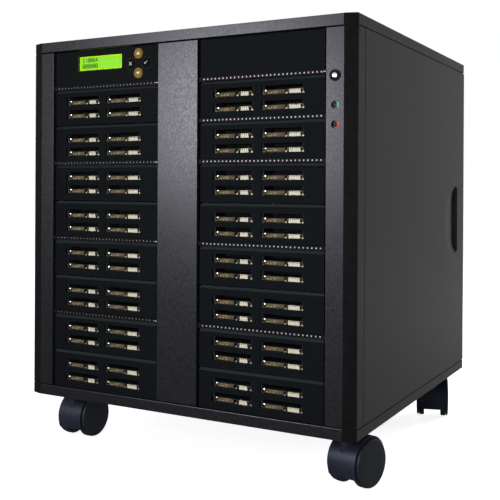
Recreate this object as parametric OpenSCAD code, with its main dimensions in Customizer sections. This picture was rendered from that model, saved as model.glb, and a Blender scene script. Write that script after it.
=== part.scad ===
// Double-column memory-card duplicator: a steel tower on four casters.
// Millimetres. X is to the right, Y to the rear, Z up. The floor is Z = 0.

/* [Cabinet] */
// Depth from the bezel front to the rear panel
cab_d = 398; // [360:1:440]
// Thickness of the sheet steel
sheet_t = 1.2; // [0.8:0.1:1.6]
// Height of the top cover flange on the sides
top_flange = 11; // [8:0.5:16]
// Height of the base pan flange on the sides
base_flange = 10.5; // [8:0.5:16]
// Depth at which the front frame flange ends
frame_flange = 23; // [18:0.5:36]
// Gap between neighbouring outer sheets
sheet_gap = 1.2; // [0.6:0.1:1.6]

/* [Front bezel] */
// Width of one column of bays
bay_w = 148; // [146:0.5:152]
// Height of one bay
bay_pitch = 43.4; // [42.6:0.1:46]
// Height of the top and bottom rails
rail_h = 11.7; // [9:0.1:20]
// Width of the pillar between the columns
pillar_w = 51; // [40:0.5:70]
// Width of the stiles beside the columns
stile_w = 18.5; // [17:0.5:30]
// Width of the black corner bars seen from the front
corner_w = 13; // [10:0.5:20]
// Set-back of the corner bars at their outer edge
corner_set = 4.2; // [2:0.1:5]
// Depth of the bezel mouldings
bezel_d = 12; // [10:0.5:16]
// Wall of the bezel mouldings
bezel_wall = 2.5; // [2:0.1:3]
// Gap between rails and stiles
bezel_gap = 1.2; // [0.6:0.1:1.6]
// Set-back of the bay faces behind the bezel
face_recess = 2.5; // [1.5:0.1:4]
// Thickness of the bay faces
face_t = 2.2; // [1.8:0.1:3]
// Gap above and below the bay faces
face_gap = 0.4; // [0.2:0.05:0.6]
// Gap beside the bay faces
face_side = 2.2; // [1:0.1:3]
// Corner radius of the bay faces
face_r = 2.5; // [1:0.1:4]
// Depth of the bevel along the upper front edge of the bay faces
face_bevel = 1.6; // [0.6:0.1:1.8]
// Height of that bevel on the reader faces
bevel_h = 3; // [1:0.1:4]
// Height of that bevel on the control and blank panels
panel_bevel_h = 1.4; // [1:0.1:2]
// Height of the vent strips between bays
strip_h = 4.4; // [3.4:0.1:5]
// Depth of the vent strips
strip_d = 6; // [4:0.5:8]
// Number of vents in a strip
strip_vents = 30; // [20:1:30]
// Width of a vent
vent_w = 1.9; // [1.5:0.1:2.5]
// Height of a vent
vent_h = 2.2; // [1.5:0.1:2.8]

/* [Reader modules] */
// Width of a card window
window_w = 48; // [47:0.5:52]
// Height of a card window
window_h = 9.6; // [9:0.1:11]
// Distance between the card windows of one row
window_step = 57.4; // [55:0.1:62]
// Shift of the windows towards the left
window_shift = 3.5; // [0:0.1:4]
// Depth of the card mouth
mouth_d = 21; // [18:0.5:30]
// Width of the card mouth
mouth_w = 43.4; // [43:0.1:44.4]
// Height of the card mouth
mouth_h = 4.4; // [4.2:0.1:5]
// Distance from a bay's top to the floor of the upper mouth
mouth_drop = 14.6; // [13:0.1:17]
// Distance between the two rows of mouths
row_step = 15.4; // [14:0.1:17]
// Length of the arms that carry a module
arm_l = 64; // [50:1:90]

/* [Control panel] */
// Width of the display window
lcd_w = 61.3; // [50:0.1:64]
// Height of the display window
lcd_h = 16.4; // [14:0.1:18]
// Display centre left of the bay centre
lcd_left = 7.4; // [0:0.1:10]
// Display centre below the bay top
lcd_drop = 16.2; // [16:0.1:22]
// Button cluster right of the bay centre
keys_right = 46.4; // [44:0.1:52]
// Button cluster centre below the bay top
keys_drop = 20.6; // [20:0.1:22.4]
// Sideways distance from the cluster centre to a button
key_dx = 10.25; // [9.8:0.05:12]
// Upward distance from the cluster centre to a button
key_dz = 10.85; // [9.8:0.05:12]
// Radius of a button
key_r = 5.8; // [4:0.1:6.5]
// Height of a button above the panel
key_proud = 1.2; // [0.6:0.1:2]
// Travel of a button
key_travel = 0.8; // [0.5:0.1:1]

/* [Power button and lamps] */
// Power button below the cabinet top
power_drop = 59.9; // [50:0.1:80]
// Radius of the power button
power_r = 3.9; // [3:0.1:4.5]
// Wall of the power switch barrel
power_wall = 0.8; // [0.6:0.1:1.2]
// Height of the power button above the bezel
power_proud = 2; // [1:0.1:3]
// Upper lamp below the cabinet top
lamp_drop = 88.5; // [80:0.1:100]
// Distance between the lamps
lamp_step = 19.1; // [15:0.1:30]
// Radius of a lamp lens
lamp_r = 2.6; // [2:0.1:3]
// Radius of the dark recess round a lamp
lamp_recess_r = 3.8; // [3.4:0.1:4.5]

/* [Side panels] */
// Front edge of the finger grip behind the bezel front
grip_y = 308; // [250:1:330]
// Length of the finger grip
grip_l = 59; // [45:1:65]
// Radius of the curved grip edge
grip_r = 44; // [36:1:50]
// Middle of the grip below the cabinet top
grip_drop = 210; // [150:1:260]
// Depth of the grip at its rear wall
grip_depth = 7; // [6:0.5:18]
// Width of the rear lip of a side panel
lip_w = 14; // [10:0.5:18]

/* [Casters] */
// Height from the floor to the base pan
caster_h = 61; // [56:0.5:80]
// Radius of a wheel
wheel_r = 25; // [20:0.5:26]
// Width of a wheel
wheel_w = 10; // [8:0.5:10.5]
// Width over both wheels
caster_w = 41.5; // [36:0.5:50]
// Width of wheel rim left uncovered beside the hood
rim_w = 4; // [3.5:0.5:6]
// Wall of the hood
hood_t = 2; // [1.5:0.1:2.5]
// Height of the hood's lower edge above the floor
hood_z = 12.5; // [6:0.5:14]
// Distance from the stem to the axle
trail = 18.5; // [12:0.5:20]
// Radius of the stem
stem_r = 4; // [3:0.05:5]
// Radius of the axle
axle_r = 3; // [2:0.1:4]
// Stem inset from the cabinet side
stem_inset = 27; // [24:0.5:60]
// Front stems behind the bezel front
front_stem = 44.5; // [40:0.5:80]
// Rear stems behind the bezel front
rear_stem = 348.5; // [300:0.5:349]
// Outward turn of the front right and rear left casters
outward_turn = 14; // [0:1:30]
// Inward turn of the rear right caster
inward_turn = 17; // [0:1:30]

/* [Power supply] */
// Width of the power supply
psu_w = 150; // [150:1:160]
// Height of the power supply
psu_h = 86; // [86:1:95]
// Length of the power supply
psu_l = 140; // [120:1:150]
// Radius of the fan
fan_r = 36; // [30:0.5:37]
// Height of the mains inlet flange above the rear panel
rear_proud = 2; // [1:0.1:3]

/* [Hidden] */
$fn = 64;
bay_count = 9;
eps = 0.01;
fit = 0.05;
left_strips = [1, 3, 5, 7];
right_strips = [1, 2, 3, 5, 7];
cab_w = pillar_w + 2 * (bay_w + stile_w + corner_w);
cab_h = bay_count * bay_pitch + 2 * rail_h;
half_w = cab_w / 2;
front_y = -(cab_d + power_proud + rear_proud) / 2 + power_proud;
rear_y = front_y + cab_d;
base_z = caster_h;
top_z = base_z + cab_h;
bay_cx = (pillar_w + bay_w) / 2;
stile_in = pillar_w / 2 + bay_w;
stile_out = stile_in + stile_w;
stile_cx = stile_in + stile_w / 2;
frame_y = front_y + bezel_d;
flange_y = front_y + 6;
face_y = front_y + face_recess;
face_w = bay_w - 2 * face_side;
strip_w = bay_w - 0.6;
strip_y = face_y - 0.4;
arm_t = 2.4;
socket_y = face_y + face_t + 0.1;
rail_t = 2.7;
floor_t = 1.2;
board_t = 1.6;
block_d = 6;
apron_h = window_h - mouth_h - 0.2;
key_cx = -bay_cx + keys_right;
key_cz = top_z - rail_h - keys_drop;
lcd_cx = -bay_cx - lcd_left;
lcd_cz = top_z - rail_h - lcd_drop;
power_z = top_z - power_drop;
lamp_z = top_z - lamp_drop;
cage_d = 168;
cage_t = 1;
cage_x = bay_w / 2 + 1.2;
panel_z0 = base_z + base_flange + sheet_gap;
panel_z1 = top_z - top_flange - sheet_gap;
panel_y0 = front_y + frame_flange + sheet_gap;
lip_y = rear_y + 0.1;
grip_z = top_z - grip_drop;
psu_cx = -bay_cx;
psu_z0 = base_z + 14;
psu_y1 = rear_y - sheet_t;
psu_wall = 1;
fan_x = psu_cx - 26;
fan_z = psu_z0 + psu_h / 2;
inlet_x = psu_cx + 48;
inlet_z = psu_z0 + 28;
rocker_z = psu_z0 + 60;
stem_x = half_w - stem_inset;
sleeve_h = 10;
hub_gap = 0.5;
web_t = 5;
hood_half = caster_w / 2 - rim_w;
hood_r = wheel_r + hub_gap + hood_t;
neck_r = stem_r + 2;
neck_z = wheel_r + 6;
rim_r = 1.8;
groove_w = 0.8;

// Height of the top of bay k, counted from 0 at the top
function bay_top(k) = top_z - rail_h - k * bay_pitch;

// Margin left for a vent strip at boundary k
function edge_margin(k, strips) = len(search(k, strips)) > 0 ? strip_h / 2 + face_gap : face_gap;

// Upper and lower edge of the face in bay k
function face_hi(k, strips) = bay_top(k) - edge_margin(k, strips);
function face_lo(k, strips) = bay_top(k + 1) + edge_margin(k + 1, strips);

// A box between two opposite corners
module block(lo, hi) {
  translate(lo)
    cube(hi - lo);
}

// A round bar along Y
module rod_y(r, x, z, y0, y1) {
  translate([x, y0, z])
    rotate([-90, 0, 0])
      cylinder(r = r, h = y1 - y0);
}

// A flat outline in X and Z, made t thick from y0 to the rear
module plate_y(y0, t) {
  translate([0, y0 + t, 0])
    rotate([90, 0, 0])
      linear_extrude(t)
        children();
}

// An outline in Y and Z, made t thick from x0 to the right
module plate_x(x0, t) {
  translate([x0, 0, 0])
    rotate([90, 0, 90])
      linear_extrude(t)
        children();
}

// Folded base pan with side flanges and four caster holes
module base_pan() {
  color([0.22, 0.22, 0.22])
  difference() {
    union() {
      block([-half_w, frame_y + 0.2, base_z], [half_w, rear_y, base_z + sheet_t]);
      for (s = [-1, 1])
        block([s > 0 ? half_w - sheet_t : -half_w, flange_y + 0.2, base_z],
          [s > 0 ? half_w : sheet_t - half_w, rear_y, base_z + base_flange]);
    }
    for (s = [-1, 1])
      for (y = [front_stem, rear_stem])
        translate([s * stem_x, front_y + y, base_z - 1])
          cylinder(r = stem_r + 2.3, h = sheet_t + 2);
  }
}

// Folded top cover with side flanges
module top_cover() {
  color([0.24, 0.23, 0.23])
  union() {
    block([-half_w, frame_y + 0.2, top_z - sheet_t], [half_w, rear_y, top_z]);
    for (s = [-1, 1])
      block([s > 0 ? half_w - sheet_t : -half_w, flange_y + 0.2, top_z - top_flange],
        [s > 0 ? half_w : sheet_t - half_w, rear_y, top_z]);
  }
}

// Front frame with two bay openings and side flanges
module front_frame() {
  color([0.24, 0.23, 0.23])
  union() {
    plate_y(frame_y + 0.2, sheet_t)
      difference() {
        translate([-half_w + sheet_t + fit, base_z + sheet_t + fit])
          square([cab_w - 2 * sheet_t - 2 * fit, cab_h - 2 * sheet_t - 2 * fit]);
        for (s = [-1, 1])
          translate([s * bay_cx - cage_x, bay_top(bay_count)])
            square([2 * cage_x, bay_count * bay_pitch]);
        translate([stile_cx, power_z])
          circle(r = power_r + 2.5);
        for (k = [0, 1])
          translate([stile_cx, lamp_z - k * lamp_step])
            circle(r = lamp_r + 1.5);
      }
    for (s = [-1, 1])
      block([s > 0 ? half_w - sheet_t - fit - eps : -half_w, frame_y + 0.2, panel_z0],
        [s > 0 ? half_w : sheet_t + fit + eps - half_w, front_y + frame_flange, panel_z1]);
    for (s = [-1, 1])
      block([s > 0 ? half_w - sheet_t : -half_w, flange_y + 0.2, panel_z0],
        [s > 0 ? half_w : sheet_t - half_w, front_y + frame_flange, panel_z1]);
  }
}

// Rear panel with the power-supply cut-out and vent slots
module rear_panel() {
  color([0.25, 0.24, 0.24])
  plate_y(rear_y - sheet_t, sheet_t)
    difference() {
      translate([-half_w + sheet_t + fit, base_z + sheet_t + fit])
        square([cab_w - 2 * sheet_t - 2 * fit, cab_h - 2 * sheet_t - 2 * fit]);
      translate([psu_cx - psu_w / 2 + 3, psu_z0 + 3])
        square([psu_w - 6, psu_h - 6]);
      for (r = [0 : 2])
        for (i = [0 : 15])
          translate([-bay_cx - 67.5 + 9 * i - 2, base_z + 160 + 72 * r])
            square([4, 56]);
      for (r = [0 : 2])
        for (i = [0 : 15])
          translate([bay_cx - 67.5 + 9 * i - 2, base_z + 160 + 72 * r])
            square([4, 56]);
    }
}

// Pressed finger grip, grown by g, open at its straight rear end
module grip_pocket(g) {
  y1 = front_y + grip_y + grip_l;
  intersection() {
    plate_x(half_w - 40, 40 + 1)
      intersection() {
        translate([front_y + grip_y + grip_r, grip_z])
          circle(r = grip_r + g);
        translate([front_y + grip_y - 10, grip_z - grip_r - 10])
          square([y1 - front_y - grip_y + 10, 2 * grip_r + 20]);
      }
    translate([0, 0, grip_z - grip_r - 20])
      linear_extrude(2 * grip_r + 40)
        polygon([[half_w + 1, front_y + grip_y - g - 6],
          [half_w + 1, y1],
          [half_w - grip_depth - g, y1],
          [half_w - g, front_y + grip_y - g - 6]]);
  }
}

// Slide-off side panel with its grip, guide rails and rear lip, as the right one
module side_panel() {
  difference() {
    union() {
      block([half_w - sheet_t, panel_y0, panel_z0], [half_w, lip_y + sheet_t, panel_z1]);
      block([half_w - lip_w, lip_y, panel_z0], [half_w, lip_y + sheet_t, panel_z1]);
      intersection() {
        grip_pocket(sheet_t);
        block([half_w - 40, front_y, base_z], [half_w, rear_y, top_z]);
      }
      for (z = [panel_z0 - 4, panel_z1 - 3])
        block([half_w - 2 * sheet_t - 0.3, panel_y0 + 6, z],
          [half_w - sheet_t - 0.3, rear_y - 30, z + 7]);
      for (z = [panel_z0, panel_z1 - 3])
        block([half_w - 2 * sheet_t, panel_y0 + 6, z],
          [half_w - sheet_t + 0.1, rear_y - 30, z + 3]);
    }
    grip_pocket(0);
  }
}

// Right side panel
module right_panel() {
  color([0.24, 0.23, 0.23])
    side_panel();
}

// Left side panel
module left_panel() {
  color([0.24, 0.23, 0.23])
    mirror([1, 0, 0])
      side_panel();
}

// Horizontal bezel rail, open to the rear
module rail(z0, z1) {
  difference() {
    block([-stile_out, front_y, z0], [stile_out, frame_y, z1]);
    block([-stile_out + bezel_wall, front_y + bezel_wall, z0 + bezel_wall],
      [stile_out - bezel_wall, frame_y + 1, z1 - bezel_wall]);
  }
}

// Upper bezel rail
module top_rail() {
  color([0.3, 0.3, 0.32])
    rail(top_z - rail_h, top_z);
}

// Lower bezel rail
module bottom_rail() {
  color([0.3, 0.3, 0.32])
    rail(base_z, base_z + rail_h);
}

// Upright bezel moulding, open to the rear
module upright(x0, x1) {
  z0 = base_z + rail_h + bezel_gap;
  z1 = top_z - rail_h - bezel_gap;
  difference() {
    block([x0, front_y, z0], [x1, frame_y, z1]);
    block([x0 + bezel_wall, front_y + bezel_wall, z0 + bezel_wall],
      [x1 - bezel_wall, frame_y + 1, z1 - bezel_wall]);
  }
}

// Left stile
module left_stile() {
  color([0.3, 0.3, 0.32])
    upright(-stile_out, -stile_in);
}

// Pillar between the columns
module centre_pillar() {
  color([0.3, 0.3, 0.32])
    upright(-pillar_w / 2, pillar_w / 2);
}

// Right stile with the holes of the power switch and lamps
module right_stile() {
  color([0.3, 0.3, 0.32])
  difference() {
    upright(stile_in, stile_out);
    rod_y(power_r + 0.3 + power_wall + fit, stile_cx, power_z, front_y - 1, frame_y + 1);
    for (k = [0, 1])
      rod_y(lamp_recess_r, stile_cx, lamp_z - k * lamp_step, front_y - 1, frame_y + 1);
  }
}

// Smooth black bars at both front corners
module corner_bars() {
  color([0.1, 0.1, 0.1])
  for (s = [0, 1])
    mirror([s, 0, 0])
      difference() {
        translate([0, 0, base_z])
          linear_extrude(cab_h)
            polygon([[stile_out + fit, front_y], [half_w, front_y + corner_set],
              [half_w, flange_y], [half_w - sheet_t - 0.2, flange_y],
              [half_w - sheet_t - 0.2, frame_y], [stile_out + fit, frame_y]]);
        for (z = [base_z + rail_h, top_z - rail_h - bezel_gap])
          translate([0, 0, z])
            linear_extrude(bezel_gap)
              polygon([[stile_out - 1, front_y - 1], [half_w + 1, front_y - 1],
                [half_w + 1, front_y + corner_set + 0.8], [half_w - 0.4, front_y + corner_set + 0.4],
                [stile_out - 1, front_y + 0.2]]);
      }
}

// Vent strips between bays
module vent_strip(cx, k) {
  step = (bay_w - 8) / strip_vents;
  plate_y(strip_y, strip_d)
    difference() {
      translate([cx - strip_w / 2, bay_top(k) - strip_h / 2])
        square([strip_w, strip_h]);
      for (i = [0 : strip_vents - 1])
        translate([cx + (i - (strip_vents - 1) / 2) * step - vent_w / 2, bay_top(k) - vent_h / 2])
          square([vent_w, vent_h]);
    }
}

// All vent strips of both columns
module vent_strips() {
  color([0.07, 0.07, 0.08])
  union() {
    for (k = left_strips)
      vent_strip(-bay_cx, k);
    for (k = right_strips)
      vent_strip(bay_cx, k);
  }
}

// Outline of a bay face with rounded upper corners
module face_outline(lo, hi) {
  translate([-face_w / 2, lo])
    square([face_w, hi - lo - face_r]);
  translate([-face_w / 2 + face_r, lo])
    square([face_w - 2 * face_r, hi - lo]);
  for (s = [-1, 1])
    translate([s * (face_w / 2 - face_r), hi - face_r])
      circle(r = face_r);
}

// Arms behind a bay face, with pads that rest against the cage
module arms(lo, hi, l) {
  mid = (lo + hi) / 2;
  for (s = [-1, 1])
    block([s > 0 ? face_w / 2 - arm_t : -face_w / 2, face_y + face_t - 0.5, lo + 3],
      [s > 0 ? face_w / 2 : arm_t - face_w / 2, face_y + face_t + l, hi - 3]);
  for (s = [-1, 1])
    block([s > 0 ? face_w / 2 - 1 : -cage_x, face_y + face_t + 14, mid - 5],
      [s > 0 ? cage_x : 1 - face_w / 2, face_y + face_t + l - 4, mid + 5]);
}

// Bevel of height h along the upper front edge of a bay face
module top_bevel(hi, h) {
  plate_x(-face_w / 2 - 1, face_w + 2)
    polygon([[face_y - 1, hi - h - h / face_bevel], [face_y + face_bevel, hi],
      [face_y + face_bevel, hi + 1], [face_y - 1, hi + 1]]);
}

// Card-reader face of bay k with four windows
module card_face(cx, k, strips) {
  lo = face_lo(k, strips);
  hi = face_hi(k, strips);
  translate([cx, 0, 0])
    difference() {
      union() {
        plate_y(face_y, face_t)
          difference() {
            face_outline(lo, hi);
            for (s = [-0.5, 0.5])
              for (r = [0, 1])
                translate([s * window_step - window_shift - window_w / 2,
                  bay_top(k) - mouth_drop - r * row_step - apron_h])
                  square([window_w, window_h]);
          }
        arms(lo, hi, arm_l);
      }
      top_bevel(hi, bevel_h);
    }
}

// Reader faces, named by column and by their place between vent strips
module card_faces_left_1() {
  color([0.09, 0.09, 0.1])
  for (k = [1, 2])
    card_face(-bay_cx, k, left_strips);
}

module card_faces_left_2() {
  color([0.09, 0.09, 0.1])
  for (k = [3, 4])
    card_face(-bay_cx, k, left_strips);
}

module card_faces_left_3() {
  color([0.09, 0.09, 0.1])
  for (k = [5, 6])
    card_face(-bay_cx, k, left_strips);
}

module card_faces_left_4() {
  color([0.09, 0.09, 0.1])
  for (k = [7, 8])
    card_face(-bay_cx, k, left_strips);
}

module card_faces_right_1() {
  color([0.09, 0.09, 0.1])
    card_face(bay_cx, 1, right_strips);
}

module card_faces_right_2() {
  color([0.09, 0.09, 0.1])
    card_face(bay_cx, 2, right_strips);
}

module card_faces_right_3() {
  color([0.09, 0.09, 0.1])
  for (k = [3, 4])
    card_face(bay_cx, k, right_strips);
}

module card_faces_right_4() {
  color([0.09, 0.09, 0.1])
  for (k = [5, 6])
    card_face(bay_cx, k, right_strips);
}

module card_faces_right_5() {
  color([0.09, 0.09, 0.1])
  for (k = [7, 8])
    card_face(bay_cx, k, right_strips);
}

// Blank face of the upper right bay
module blank_panel() {
  lo = face_lo(0, right_strips);
  hi = face_hi(0, right_strips);
  color([0.14, 0.14, 0.15])
  translate([bay_cx, 0, 0])
    difference() {
      union() {
        plate_y(face_y, face_t)
          face_outline(lo, hi);
        arms(lo, hi, arm_l / 2);
      }
      top_bevel(hi, panel_bevel_h);
    }
}

// Face of the upper left bay with display window and button holes
module control_panel() {
  lo = face_lo(0, left_strips);
  hi = face_hi(0, left_strips);
  color([0.14, 0.14, 0.15])
  difference() {
    translate([-bay_cx, 0, 0])
      union() {
        plate_y(face_y, face_t)
          face_outline(lo, hi);
        arms(lo, hi, arm_l / 2);
        for (sx = [-1, 1])
          for (sz = [-1, 1])
            rod_y(1.6, keys_right + sx * 14, key_cz + sz * 16, face_y + 1, face_y + face_t + 9);
      }
    translate([-bay_cx, 0, 0])
      top_bevel(hi, panel_bevel_h);
    block([lcd_cx - lcd_w / 2, face_y - 1, lcd_cz - lcd_h / 2],
      [lcd_cx + lcd_w / 2, face_y + face_t + 1, lcd_cz + lcd_h / 2]);
    for (s = [-1, 1])
      rod_y(key_r + 0.3, key_cx + s * key_dx, key_cz, face_y - 1, face_y + face_t + 1);
    for (s = [-1, 1])
      rod_y(key_r + 0.3, key_cx, key_cz + s * key_dz, face_y - 1, face_y + face_t + 1);
  }
}

// Character display: glass in a metal frame on its board
module display_module() {
  y0 = face_y + face_t;
  color([0.55, 0.85, 0.25])
  union() {
    block([lcd_cx - lcd_w / 2 + 0.3, y0 - 1, lcd_cz - lcd_h / 2 + 0.3],
      [lcd_cx + lcd_w / 2 - 0.3, y0 + 1, lcd_cz + lcd_h / 2 - 0.3]);
    block([lcd_cx - 35.5, y0, lcd_cz - 12], [lcd_cx + 35.5, y0 + 6, lcd_cz + 12]);
    block([lcd_cx - 37, y0 + 6, lcd_cz - 15.5], [lcd_cx + 37, y0 + 6 + board_t, lcd_cz + 15.5]);
  }
}

// Board behind the buttons, with four switches
module control_board() {
  y0 = face_y + face_t + 9;
  color([0.1, 0.35, 0.18])
  union() {
    block([key_cx - 16, y0, key_cz - 18], [key_cx + 16, y0 + board_t, key_cz + 18]);
    for (s = [-1, 1])
      block([key_cx + s * key_dx - 3, y0 - 4, key_cz - 3],
        [key_cx + s * key_dx + 3, y0 + 0.5, key_cz + 3]);
    for (s = [-1, 1])
      block([key_cx - 3, y0 - 4, key_cz + s * key_dz - 3],
        [key_cx + 3, y0 + 0.5, key_cz + s * key_dz + 3]);
  }
}

// A push button with its retaining flange and plunger
module key(x, z) {
  y0 = face_y - key_proud;
  y1 = face_y + face_t;
  union() {
    rod_y(key_r - 0.4, x, z, y0, y0 + 1);
    rod_y(key_r, x, z, y0 + 0.4, y1 + 1);
    rod_y(key_r + 0.9, x, z, y1 + 0.1, y1 + 1.6);
    rod_y(1.75, x, z, y1 + 1, y1 + 5 - key_travel - 0.1);
  }
}

// Upper button
module button_up() {
  color([0.72, 0.58, 0.28])
    key(key_cx, key_cz + key_dz);
}

// Lower button
module button_down() {
  color([0.72, 0.58, 0.28])
    key(key_cx, key_cz - key_dz);
}

// Left button
module button_cancel() {
  color([0.12, 0.12, 0.12])
    key(key_cx - key_dx, key_cz);
}

// Right button
module button_accept() {
  color([0.12, 0.12, 0.12])
    key(key_cx + key_dx, key_cz);
}

// Barrel and body of the power switch
module power_switch() {
  bore = power_r + 0.3;
  color([0.06, 0.06, 0.06])
  difference() {
    union() {
      rod_y(bore + power_wall + 0.7, stile_cx, power_z, front_y - 0.9, front_y);
      rod_y(bore + power_wall, stile_cx, power_z, front_y - 0.5, front_y + 22);
      block([stile_cx - 6.5, front_y + 20, power_z - 6.5], [stile_cx + 6.5, front_y + 34, power_z + 6.5]);
    }
    rod_y(bore, stile_cx, power_z, front_y - 2, front_y + 18);
    rod_y(2, stile_cx, power_z, front_y + 17, front_y + 30);
  }
}

// Domed power button on its plunger
module power_button() {
  dome = 8;
  color([0.8, 0.8, 0.82])
  union() {
    intersection() {
      translate([stile_cx, front_y - power_proud + dome, power_z])
        sphere(r = dome);
      rod_y(power_r, stile_cx, power_z, front_y - power_proud - 1, front_y + 6);
    }
    rod_y(power_r, stile_cx, power_z, front_y + 2, front_y + 14);
    rod_y(1.7, stile_cx, power_z, front_y + 13, front_y + 26);
  }
}

// Lamp lens in its recess
module lamp(z) {
  union() {
    translate([stile_cx, front_y + 1 + lamp_r, z])
      sphere(r = lamp_r);
    rod_y(lamp_r, stile_cx, z, front_y + 1 + lamp_r, front_y + 18);
    rod_y(lamp_recess_r + 1.5, stile_cx, z, front_y + bezel_wall, front_y + bezel_wall + 2.5);
  }
}

// Upper lamp
module power_lamp() {
  color([0.2, 0.8, 0.3])
    lamp(lamp_z);
}

// Lower lamp
module activity_lamp() {
  color([0.9, 0.15, 0.1])
    lamp(lamp_z - lamp_step);
}

// Card socket: floor, two rails, contact block and the slanted latch block below the mouth
module socket(x, z) {
  w = mouth_w / 2 + rail_t;
  union() {
    difference() {
      block([x - w, socket_y, z - floor_t], [x + w, socket_y + mouth_d + block_d, z + mouth_h]);
      block([x - mouth_w / 2, socket_y - 1, z], [x + mouth_w / 2, socket_y + mouth_d, z + mouth_h + 1]);
    }
    plate_y(socket_y, 3)
      polygon([[x + 5, z - apron_h + 0.2], [x + 20.2, z - apron_h + 0.2], [x + 19.2, z - floor_t + 0.1],
        [x + 7.4, z - floor_t + 0.1]]);
  }
}

// Bronze sheet over a socket and its apron below the mouth
module shield(x, z) {
  w = mouth_w / 2 + rail_t;
  block([x - w, socket_y, z + mouth_h], [x + w, socket_y + mouth_d, z + mouth_h + 0.4]);
  union() {
    block([x - 23, socket_y + 0.4, z - apron_h + 0.2], [x + 1.6, socket_y + 1, z - floor_t]);
    block([x - 23, socket_y + 0.4, z - floor_t - 0.6], [x + 1.6, socket_y + 4.8, z - floor_t]);
  }
}

// Repeats its children's place for all card mouths: calls the named piece
module at_sockets(kind) {
  for (c = [-1, 1])
    for (k = [1 : bay_count - 1])
      for (s = [-0.5, 0.5])
        for (r = [0, 1])
          if (kind == "socket")
            socket(c * bay_cx + s * window_step - window_shift, bay_top(k) - mouth_drop - r * row_step);
          else
            shield(c * bay_cx + s * window_step - window_shift, bay_top(k) - mouth_drop - r * row_step);
}

// All card sockets
module card_sockets() {
  color([0.16, 0.14, 0.12])
    at_sockets("socket");
}

// All socket shields
module socket_shields() {
  color([0.6, 0.42, 0.22])
    at_sockets("shield");
}

// Boards below the socket rows
module reader_boards() {
  w = face_w / 2 - arm_t - 0.1;
  color([0.1, 0.35, 0.18])
  for (c = [-1, 1])
    for (k = [1 : bay_count - 1])
      for (r = [0, 1])
        translate([c * bay_cx, 0, bay_top(k) - mouth_drop - r * row_step - floor_t - board_t])
          block([-w, socket_y + 5, 0], [w, socket_y + arm_l - 4, board_t]);
}

// One zinc-plated drive cage with shelves behind its vent strips, notched for the caster sleeves
module cage(cx, strips) {
  y0 = frame_y + 0.2 + sheet_t;
  difference() {
    union() {
      for (s = [-1, 1])
        block([cx + (s > 0 ? cage_x : -cage_x - cage_t), y0, base_z + sheet_t],
          [cx + (s > 0 ? cage_x + cage_t : -cage_x), y0 + cage_d, top_z - sheet_t]);
      for (z = [base_z + sheet_t, top_z - 2 * sheet_t])
        block([cx - cage_x - cage_t, y0, z], [cx + cage_x + cage_t, y0 + cage_d, z + sheet_t]);
      for (k = strips) {
        block([cx - strip_w / 2, strip_y + strip_d, bay_top(k) - strip_h / 2 + 0.2],
          [cx + strip_w / 2, strip_y + strip_d + cage_t, bay_top(k) + strip_h / 2 - 0.2]);
        block([cx - strip_w / 2, strip_y + strip_d, bay_top(k) - cage_t / 2],
          [cx + strip_w / 2, y0 + 90, bay_top(k) + cage_t / 2]);
        block([cx - cage_x - 0.2, y0 + 1, bay_top(k) - cage_t / 2],
          [cx + cage_x + 0.2, y0 + 90, bay_top(k) + cage_t / 2]);
      }
    }
    for (s = [-1, 1])
      block([s * stem_x - 12, front_y + front_stem - 12, base_z],
        [s * stem_x + 12, front_y + front_stem + 12, base_z + sleeve_h + 1]);
  }
}

// Both drive cages and the posts of the controller board
module drive_cages() {
  y1 = frame_y + 0.2 + sheet_t + cage_d;
  color([0.72, 0.73, 0.75])
  union() {
    cage(-bay_cx, left_strips);
    cage(bay_cx, right_strips);
    for (s = [-1, 1])
      block([bay_cx + s * 65 - (s > 0 ? 0 : 11), y1 - 1, base_z + 150],
        [bay_cx + s * 65 + (s > 0 ? 11 : 0), y1, base_z + 330]);
    for (s = [-1, 1])
      for (z = [170, 310])
        rod_y(3, bay_cx + s * 70, base_z + z, y1 - 0.5, y1 + 8);
  }
}

// Controller board with its processor block and connectors
module controller_board() {
  y0 = frame_y + 0.2 + sheet_t + cage_d + 8;
  color([0.1, 0.35, 0.18])
  union() {
    block([bay_cx - 78, y0, base_z + 160], [bay_cx + 78, y0 + board_t, base_z + 320]);
    block([bay_cx - 20, y0 + 1, base_z + 225], [bay_cx + 20, y0 + 6, base_z + 265]);
    for (i = [0 : 3])
      block([bay_cx - 60 + 32 * i, y0 + 1, base_z + 285], [bay_cx - 36 + 32 * i, y0 + 10, base_z + 293]);
  }
}

// Power-supply case with its fan grille and switch cut-outs
module power_supply() {
  y0 = psu_y1 - psu_l;
  x0 = psu_cx - psu_w / 2;
  color([0.62, 0.63, 0.65])
  union() {
    difference() {
      block([x0, y0, psu_z0], [x0 + psu_w, psu_y1 - psu_wall + eps, psu_z0 + psu_h]);
      block([x0 + psu_wall, y0 + psu_wall, psu_z0 + psu_wall],
        [x0 + psu_w - psu_wall, psu_y1 + 1, psu_z0 + psu_h - psu_wall]);
    }
    plate_y(psu_y1 - psu_wall, psu_wall)
      difference() {
        translate([x0, psu_z0])
          square([psu_w, psu_h]);
        difference() {
          translate([fan_x, fan_z])
            circle(r = fan_r + 1);
          for (r = [8, 15, 22, 29])
            translate([fan_x, fan_z])
              difference() {
                circle(r = r + 2);
                if (r > 8)
                  circle(r = r);
              }
          for (a = [45, 135])
            translate([fan_x, fan_z])
              rotate(a)
                square([2 * fan_r + 4, 3], center = true);
        }
        translate([inlet_x - 14, inlet_z - 10.2])
          square([28, 20.4]);
        translate([inlet_x - 14, rocker_z - 10.2])
          square([28, 20.4]);
      }
    rod_y(2.5, fan_x, fan_z, psu_y1 - 24, psu_y1 - psu_wall + 0.1);
    block([x0 + 20, y0 + 0.5, psu_z0 - 14 + sheet_t], [x0 + psu_w - 20, psu_y1 - 30, psu_z0 + 0.5]);
  }
}

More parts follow.
